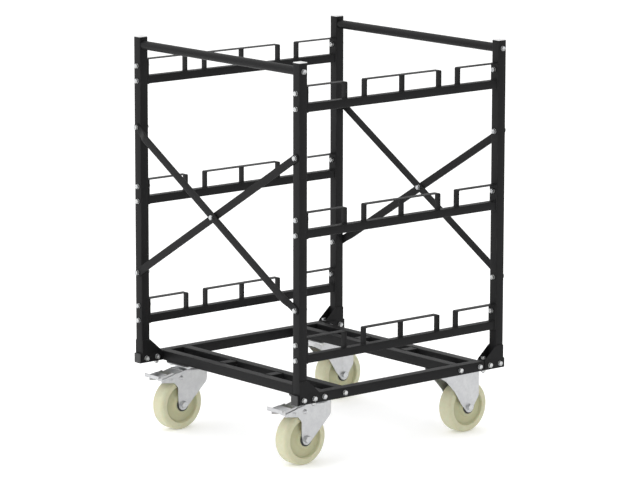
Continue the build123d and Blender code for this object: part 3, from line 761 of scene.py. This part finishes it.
def thread(bm, place, radius, tip, run, pitch=0.00125):
    """Threaded end: rings of thread up from a chamfered tip."""
    profile = [(radius - 0.0011, tip), (radius - 0.0004, tip + 0.0006)]
    turns = max(1, round(run / pitch))
    for k in range(turns):
        base = tip + 0.0006 + k * pitch
        profile += [(radius, base + pitch * 0.4), (radius - 0.0007, base + pitch * 0.9)]
    lathe(bm, place, profile, 24)


def bolt(bm, points, number):
    """Rebuilds a hex bolt from its CAD solid: head, washers, nut and threaded end."""
    lo, hi = extent(points)
    size, centre = hi - lo, (lo + hi) / 2
    k = max(range(3), key=lambda i: size[i])

    def widest(start, finish):
        """Largest distance from the bolt's axis between two places measured from the head's top."""
        best = 0.0
        for p in points:
            if start - 1e-5 <= sign * (tip - p[k]) <= finish + 1e-5:
                off = p - centre
                off[k] = 0
                best = max(best, off.length)
        return best

    sign, tip = 1, hi[k]
    if widest(0, 1e-4) < 0.005:
        sign, tip = -1, lo[k]
    under_head = HEAD_HEIGHT + (WASHER if widest(HEAD_HEIGHT, HEAD_HEIGHT + WASHER) > 0.0077 else 0)
    seat = centre.copy()
    seat[k] = tip - sign * under_head
    z = Vector((0, 0, 0))
    z[k] = sign
    place = basis(seat, Vector((1, 0, 0)) if k else Vector((0, 1, 0)), z)
    rise = under_head - HEAD_HEIGHT
    turn = 2.39996 * number
    if rise:
        washer(bm, place, WASHER_RADIUS if abs(seat.x) > 0.1 else 0.0066, 0, rise)
    hexagon(bm, place, HEX_FLATS, rise, rise + HEAD_HEIGHT, turn)
    length = size[k] - under_head
    lathe(bm, place, [(0.0039, -length + TAIL), (0.0039, 0)], 24)
    thread(bm, place, 0.004, -length, TAIL)
    nut_face = size[k] - TAIL
    if widest(nut_face - NUT_HEIGHT, nut_face) > 0.005:
        hexagon(bm, place, HEX_FLATS, TAIL - length, TAIL - length + NUT_HEIGHT, turn + 0.7, both=True)
        if widest(nut_face - NUT_HEIGHT - WASHER, nut_face - NUT_HEIGHT) > 0.0077:
            washer(bm, place, WASHER_RADIUS, TAIL - length + NUT_HEIGHT, TAIL - length + NUT_HEIGHT + WASHER)


for node in ("base_bolts", "rail_bolts", "brace_bolts", "push_bar_bolts", "caster_screws"):
    bm = bmesh.new()
    for number, points in enumerate(solids(node)):
        bolt(bm, points, number)
    piece(node + ".set", bm, "bolt_zinc", "frame", [node])


# ---------- Caster pads, plates and forks ----------
pads = {}
bm = bmesh.new()
for lo, hi in map(extent, solids("caster_pads")):
    centre = (lo + hi) / 2
    key = ("front" if centre.y < 0 else "rear") + "_" + ("left" if centre.x < 0 else "right")
    pads[key] = (lo, hi)
    place = basis((centre.x, centre.y, lo.z), (1, 0, 0), (0, 0, 1))
    outline = rounded_rect(hi.x - lo.x, hi.y - lo.y, 0.010, 8)
    prism(bm, place, outline, hi.z - lo.z, 0.0006)
piece("caster_pads.blocks", bm, "plug_black", "frame", ["caster_pads"])


def caster_plate(bm, key):
    """Pressed top plate under its pad."""
    lo, hi = pads[key]
    place = basis(((lo.x + hi.x) / 2, (lo.y + hi.y) / 2, lo.z - PLATE), (1, 0, 0), (0, 0, 1))
    width, length = hi.x - lo.x - 2 * PAD_MARGIN, hi.y - lo.y - 2 * PAD_MARGIN
    prism(bm, place, rounded_rect(width, length, PLATE_CORNER, 8), PLATE, 0.0007)


def at_height(line, y):
    """Height at a distance along Y of a line of (y, z) points that runs towards +Y."""
    for (y0, z0), (y1, z1) in zip(line, line[1:]):
        if y <= y1:
            return z0 + (z1 - z0) * max(0.0, (y - y0) / max(y1 - y0, 1e-9))
    return line[-1][1]


def fork_sheet(bm, axle, lower, upper, front, sense, bend, step=None):
    """Sheet bent to a U in plan: one leg, round the front, and the other leg. Its lower and upper edges
    are (y, z) lines from the axle, with y running towards the bend. A step presses the legs out."""
    half = FORK_INNER + FORK_SHEET / 2
    stations = [(half, y, 1.0, 0.0, z) for y, z in lower if y <= front - bend]
    for k in range(15):
        a = math.pi / 2 * k / 14
        y = front - bend + bend * math.sin(a)
        stations.append((half - bend + bend * math.cos(a), y, math.cos(a), math.sin(a), at_height(lower, y)))
    stations += [(-x, y, -nx, ny, low) for x, y, nx, ny, low in reversed(stations)]
    t, b = FORK_SHEET / 2, 0.0005
    rings = []
    for x, y, nx, ny, low in stations:
        high = at_height(upper, y)
        out = step[1] * smooth((step[0] - y) / 0.003) if step else 0.0
        section = [(t, low + b), (t, high - b), (t - b, high), (b - t, high), (-t, high - b), (-t, low + b),
                   (b - t, low), (t - b, low)]
        rings.append([Vector((axle.x + x + nx * (o + out), axle.y + sense * (y + ny * o), axle.z + z))
                      for o, z in section])
    skin(bm, rings)


def rivet(bm, x, y, z, face, radius, height):
    """Domed rivet head in a raised ring on a fork leg."""
    place = basis((x, y, z), (0, 1, 0), (face, 0, 0))
    profile = [(radius + 0.0016, -0.0004), (radius + 0.0016, 0.0010), (radius + 0.0008, 0.0013),
               (radius, 0.0002), (radius, height * 0.25)]
    profile += [(radius * math.cos(math.radians(a)), height * (0.25 + 0.75 * math.sin(math.radians(a))))
                for a in (20, 40, 58, 74, 86)]
    lathe(bm, place, profile, 28)


def edge_line(corners):
    """Rounded line through (y, z, radius) corners, kept in order along Y."""
    closed = corners + [(corners[-1][0], corners[-1][1] + 1, 0.0), (corners[0][0], corners[0][1] + 1, 0.0)]
    line = []
    for y, z in rounded_polygon(closed, 6)[:-2]:
        line.append((max(y, line[-1][0] + 1e-5) if line else y, z))
    return line


def tip_arc(radius, start, end):
    return [(p[0], p[1], 0.0) for p in arc(0, 0, radius, start, end, 14)]


def fixed_fork(side):
    node, key = "fixed_fork_" + side, "rear_" + side
    lo, hi = pads[key]
    axle = centre_of("axle_" + key)
    axle.x = centre_of("wheel_" + key).x
    under = lo.z - PLATE - axle.z
    front, back = lo.y + PAD_MARGIN - axle.y, hi.y - PAD_MARGIN - axle.y
    bm = bmesh.new()
    caster_plate(bm, key)
    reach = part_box(node)[1].y - axle.y
    heel = [(-reach, under - 0.040, 0.0), (-reach + 0.0005, 0.030, 0.012), (-LEG_TIP - 0.001, 0.004, 0.012)]
    lower = edge_line(heel + tip_arc(LEG_TIP, 182, 320)
                      + [(0.033, 0.012, 0.020), (0.061, 0.055, 0.040), (0.095, axle.z + 0.012, 0.010),
                         (-front, under - 0.012, 0.0)])
    upper = [(-reach, under - 0.012), (-reach + 0.004, under - 0.008), (-back, under - 0.006),
             (-back + 0.002, under), (-front, under)]
    fork_sheet(bm, axle, lower, upper, -front - 0.002, -1, FIXED_BEND, (0.010, 0.0012))
    piece(node + ".pressing", bm, "zinc", "frame", [node])


def swivel_plate(side):
    """Plate, ball race and kingpin, which stay with the frame."""
    node, key = "swivel_plate_" + side, "front_" + side
    lo, hi = pads[key]
    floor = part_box(node)[0].z
    crown_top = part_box("swivel_fork_" + side)[1].z
    bm = bmesh.new()
    caster_plate(bm, key)
    place = basis(((lo.x + hi.x) / 2, (lo.y + hi.y) / 2, lo.z - PLATE), (1, 0, 0), (0, 0, -1))
    drop = lo.z - PLATE - crown_top - 0.0005
    lathe(bm, place, [(RACE + 0.003, -0.0002), (RACE + 0.0012, 0.0012), (RACE, 0.003), (RACE, 0.0042),
                      (RACE - 0.0015, 0.0047), (RACE - 0.0015, 0.0055), (RACE, 0.0060), (RACE, drop - 0.001),
                      (RACE - 0.001, drop)], 64)
    depth = lo.z - PLATE - floor
    lathe(bm, place, [(0.008, drop - 0.001), (0.008, depth - 0.0015), (0.0066, depth)], 32)
    hexagon(bm, place, 0.0225, depth - 0.0042, depth - 0.0004, 0.3, both=True)
    piece(node + ".pressing", bm, "zinc", "frame", [node])


def swivel_fork(side):
    node, key = "swivel_fork_" + side, "front_" + side
    lo, hi = pads[key]
    axle = centre_of("axle_" + key)
    axle.x = centre_of("wheel_" + key).x
    pivot_y = (lo.y + hi.y) / 2
    crown_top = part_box(node)[1].z
    top = crown_top - axle.z
    trail = pivot_y - axle.y
    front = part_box(node)[1].y - axle.y
    outer = FORK_INNER + FORK_SHEET
    bm = bmesh.new()
    neck = outer - 0.0005
    turn = math.degrees(math.asin(neck / CROWN_RADIUS))
    plan = arc(0, 0, CROWN_RADIUS, -90 + turn, 270 - turn, 44) + [(-neck, -trail), (neck, -trail)]
    crown = basis((axle.x, pivot_y, crown_top), (1, 0, 0), (0, 0, 1))
    rings = [(0.0012, -CROWN_SHEET), (0.0, -CROWN_SHEET + 0.001), (0.0, -0.0022), (0.0008, -0.0008),
             (0.0024, 0.0)]
    skin(bm, [at(crown, inset(plan, d), h) for d, h in rings])
    lower = edge_line([(-0.084, axle.z - 0.001, 0.0), (-0.034, axle.z - 0.008, 0.008),
                       (-0.0205, axle.z - 0.024, 0.012), (-0.020, 0.014, 0.0)] + tip_arc(LEG_TIP, 178, 320)
                      + [(0.066, 0.039, 0.050), (0.092, 0.063, 0.030), (front, axle.z + 0.016, 0.0)])
    upper = [(-0.084, axle.z + 0.007), (-0.030, axle.z + 0.020), (0.002, top - 0.0015),
             (front, top - 0.0015)]
    fork_sheet(bm, axle, lower, upper, front - FORK_SHEET / 2, 1, FORK_BEND)
    for face in (-1, 1):
        rivet(bm, axle.x + face * outer, axle.y - 0.008, 2 * axle.z + 0.0054, face, RIVET_RADIUS, RIVET_RISE)
    y, z = axle.y + PEDAL_PIN[0], 2 * axle.z + PEDAL_PIN[1]
    half = outer + 0.002
    place = basis((axle.x - half, y, z), (0, 1, 0), (1, 0, 0))
    lathe(bm, place, [(0.0026, 0), (0.0036, 0.0004), (0.004, 0.0012), (0.004, 2 * half - 0.0012),
                      (0.0036, 2 * half - 0.0004), (0.0026, 2 * half)], 28)
    for face in (-1, 1):
        spot = basis((axle.x + face * outer, y, z), (0, 1, 0), (face, 0, 0))
        washer(bm, spot, 0.0074, -0.0002, 0.0010)
    piece(node + ".pressing", bm, "zinc", "swivel_" + side, [node])


for side in SIDES:
    fixed_fork(side)
    swivel_plate(side)
    swivel_fork(side)


# ---------- Brake pedals ----------
def brake_pedal(side):
    """Foot pedal on its pin: tread with a turned-up lip, side flanges, and a short cross tab below."""
    node = "brake_pedal_" + side
    lo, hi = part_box(node)
    axle = centre_of("axle_front_" + side)
    x = centre_of("wheel_front_" + side).x
    radius = axle.z
    wide, narrow = (hi.x - lo.x) / 2, FORK_INNER - 0.0005
    tip = lo.y
    sheet = PEDAL_SHEET
    top_tip = hi.z - 0.007

    def tread_z(y):
        return top_tip + PEDAL_SLOPE * (y - tip)

    def along_slope(start, finish):
        return [(start, tread_z(start) - sheet / 2), (finish, tread_z(finish) - sheet / 2)]

    end = axle.y - 0.058
    split = axle.y - 0.0865
    bm = bmesh.new()
    strip(bm, x, along_slope(tip + 0.001, split), 2 * wide, sheet, 0.002)
    strip(bm, x, along_slope(split - 0.002, end), 2 * narrow, sheet, 0.002)
    strip(bm, x, [(tip + sheet / 2, hi.z), (tip + sheet / 2, hi.z - 0.011)], 2 * wide, sheet, 0.002)
    eye_y, eye_z = axle.y + PEDAL_PIN[0], axle.z + radius + PEDAL_PIN[1]
    arm = axle.y - 0.084
    outline = rounded_polygon([
        (arm, tread_z(arm) - sheet, 0.0), (eye_y + 0.010, tread_z(eye_y + 0.010), 0.004),
        (eye_y + 0.010, eye_z - 0.002, 0.004), (eye_y + 0.006, eye_z - 0.007, 0.004),
        (eye_y - 0.006, eye_z - 0.007, 0.003), (arm, tread_z(arm) - 0.008, 0.002)], 5)
    for face in (-narrow, narrow - sheet):
        prism(bm, basis((x + face, 0, 0), (0, 1, 0), (1, 0, 0)), outline, sheet, 0.0005)
    shoe_z = axle.z + radius - 0.005
    strip(bm, x, [(end - sheet / 2, tread_z(end) - 0.001), (end - sheet / 2, shoe_z)], 0.040, sheet, 0.002)
    piece(node + ".pressing", bm, "zinc", "pedal_" + side, [node])


for side in SIDES:
    brake_pedal(side)


# ---------- Wheels, bushes and axles ----------
def wheel(key):
    node = "wheel_" + key
    lo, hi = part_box(node)
    centre = (lo + hi) / 2
    radius, half = (hi.z - lo.z) / 2, WHEEL_HALF
    place = basis(centre, (0, 1, 0), (1, 0, 0))
    corners = [(radius, half, SHOULDER), (RIM_RADIUS, half, 0.0012), (DISH_RADIUS, half - 0.009, 0.0030),
               (HUB_RADIUS + 0.006, half - 0.005, 0.0035), (HUB_RADIUS, HUB_HALF, 0.0012),
               (BUSH_RADIUS + 0.0001, HUB_HALF, 0.0003)]
    corners += [(r, -h, bend) for r, h, bend in reversed(corners)]
    bm = bmesh.new()
    lathe(bm, place, rounded_polygon(corners, 7), 112, wrap=True)
    piece(node + ".tyre", bm, "nylon", node, [node], tread_of=(centre, radius))

    node = "hub_bush_" + key
    far = (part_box(node)[1].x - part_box(node)[0].x) / 2
    corners = [(0.0062, far, 0.0003), (0.0100, far, 0.0002), (0.0104, far - 0.0006, 0.0002),
               (0.0118, far - 0.0006, 0.0002), (0.0122, far, 0.0002), (BUSH_FLANGE, far, 0.0007),
               (BUSH_FLANGE, HUB_HALF, 0.0002), (BUSH_RADIUS, HUB_HALF, 0.0002)]
    corners += [(r, -h, bend) for r, h, bend in reversed(corners)]
    bm = bmesh.new()
    lathe(bm, place, rounded_polygon(corners, 3), 64, wrap=True)
    piece(node + ".bearing", bm, "hub_black", "wheel_" + key, [node])


def axle_set(key, body):
    node = "axle_" + key
    lo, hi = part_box(node)
    middle = centre_of("wheel_" + key)
    outer = FORK_INNER + FORK_SHEET
    place = basis(middle, (0, 1, 0), (1, 0, 0))
    bm = bmesh.new()
    seat = outer + AXLE_WASHER
    washer(bm, place, AXLE_WASHER_RADIUS, outer, seat)
    washer(bm, place, AXLE_WASHER_RADIUS, -seat, -outer)
    hexagon(bm, place, AXLE_FLATS, seat, hi.x - middle.x, 0.4 + middle.y)
    back = basis(middle, (0, 1, 0), (-1, 0, 0))
    tail = middle.x - lo.x
    hexagon(bm, back, AXLE_FLATS, seat, seat + AXLE_NUT, 0.9 + middle.y, both=True)
    thread(bm, place, 0.006, -tail, 0.003, 0.0015)
    lathe(bm, place, [(0.0058, -tail + 0.002), (0.0058, seat)], 32)
    piece(node + ".bolt", bm, "bolt_zinc", body, [node])


for end in ENDS:
    for side in SIDES:
        wheel(f"{end}_{side}")
        axle_set(f"{end}_{side}", "frame" if end == "rear" else "swivel_" + side)


# ---------- Floor, light and camera ----------
FLOOR_RADIUS = 45.0          # wide enough that its edge is never seen
FLOOR_GAP = 0.0005           # keeps the wheels clear of the floor
SUN_ENERGY = 1.6
SUN_ANGLE = 150
SURROUND = (1.05, 0.28)      # strength in front of the object, and behind it
DIM_SIDE = (0.62, 0.66, -0.10)
CAMERA_AZIMUTH, CAMERA_ELEVATION, CAMERA_ROLL = 0.865614, 0.185958, 0.001706
CAMERA_LENS = 208.35
CAMERA_OFFSET = (0.003578, 0.58477, 11.4454)     # right, up and back from the origin
scene = bpy.context.scene


def floor_surface():
    """Plain pale studio floor, very slightly mottled."""
    s = Surface("pale_floor", {"Emission Color": (1, 1, 1, 1), "Emission Strength": 0.22})
    cloud = s.noise(1.5, 2)
    tone = s.blend(s.ramp(cloud, 0.3, 0.7), (0.90, 0.90, 0.90), (0.93, 0.93, 0.93))
    s.bump([(s.noise(300, 2), 0.00005)])
    return s.finish(tone, s.ramp(cloud, 0.3, 0.7, 0.75, 0.85))


bm = bmesh.new()
ground = cad_box[0].z - FLOOR_GAP
skin(bm, [at(Matrix.Translation((0, 0, ground)), circle(FLOOR_RADIUS, 96), h) for h in (-0.02, 0.0)])
floor_mesh = bpy.data.meshes.new("studio_floor")
bm.to_mesh(floor_mesh)
bm.free()
floor_mesh.materials.append(floor_surface())
floor = bpy.data.objects.new("studio_floor", floor_mesh)
bpy.context.scene.collection.objects.link(floor)


def softbox(name, spot, size, power, target=(0, 0, 0.6)):
    lamp = bpy.data.lights.new(name, "AREA")
    lamp.shape = "RECTANGLE"
    lamp.size, lamp.size_y = size
    lamp.energy = power
    made = bpy.data.objects.new(name, lamp)
    made.location = spot
    made.rotation_euler = (Vector(target) - Vector(spot)).to_track_quat("-Z", "Y").to_euler()
    bpy.context.scene.collection.objects.link(made)
    return made


softbox("top_softbox", (0.3, -0.4, 4.2), (4.4, 4.4), 45)
softbox("key_softbox", (-2.0, -4.6, 2.0), (2.6, 3.0), 28)
overhead = bpy.data.lights.new("overhead", "SUN")
overhead.energy = SUN_ENERGY
overhead.angle = math.radians(SUN_ANGLE)
overhead_lamp = bpy.data.objects.new("overhead", overhead)
scene.collection.objects.link(overhead_lamp)


def studio_world():
    """White surround: white to the camera, and a light that dims towards the object's back right."""
    world = bpy.data.worlds.new("studio")
    world.use_nodes = True
    tree = world.node_tree
    tree.nodes.clear()
    place = tree.nodes.new("ShaderNodeTexCoord")
    turned = tree.nodes.new("ShaderNodeVectorMath")
    turned.operation = "DOT_PRODUCT"
    turned.inputs[1].default_value = Vector(DIM_SIDE).normalized()
    tree.links.new(place.outputs["Generated"], turned.inputs[0])
    ramp = tree.nodes.new("ShaderNodeMapRange")
    limits = (("From Min", -1.0), ("From Max", 1.0), ("To Min", SURROUND[0]), ("To Max", SURROUND[1]))
    for socket, value in limits:
        ramp.inputs[socket].default_value = value
    tree.links.new(turned.outputs["Value"], ramp.inputs["Value"])
    light = tree.nodes.new("ShaderNodeBackground")
    tree.links.new(ramp.outputs["Result"], light.inputs["Strength"])
    white = tree.nodes.new("ShaderNodeBackground")
    white.inputs["Strength"].default_value = 1.0
    white.inputs["Color"].default_value = (1, 1, 1, 1)
    path = tree.nodes.new("ShaderNodeLightPath")
    mix = tree.nodes.new("ShaderNodeMixShader")
    tree.links.new(path.outputs["Is Camera Ray"], mix.inputs["Fac"])
    tree.links.new(light.outputs["Background"], mix.inputs[1])
    tree.links.new(white.outputs["Background"], mix.inputs[2])
    out = tree.nodes.new("ShaderNodeOutputWorld")
    tree.links.new(mix.outputs["Shader"], out.inputs["Surface"])
    return world


scene.world = studio_world()
scene.view_settings.view_transform = "Standard"

camera_data = bpy.data.cameras.new("camera")
camera_data.sensor_width = 36
camera_data.lens = CAMERA_LENS
camera_data.clip_end = 60
camera = bpy.data.objects.new("camera", camera_data)
ahead = Vector((-math.sin(CAMERA_AZIMUTH) * math.cos(CAMERA_ELEVATION),
                math.cos(CAMERA_AZIMUTH) * math.cos(CAMERA_ELEVATION), -math.sin(CAMERA_ELEVATION)))
right = ahead.cross(Vector((0, 0, 1))).normalized()
up = right.cross(ahead)
cos_roll, sin_roll = math.cos(CAMERA_ROLL), math.sin(CAMERA_ROLL)
right, up = right * cos_roll + up * sin_roll, up * cos_roll - right * sin_roll
spot = right * CAMERA_OFFSET[0] + up * CAMERA_OFFSET[1] - ahead * CAMERA_OFFSET[2]
camera.matrix_world = Matrix.Translation(spot) @ Matrix((right, up, -ahead)).transposed().to_4x4()
scene.collection.objects.link(camera)
scene.camera = camera
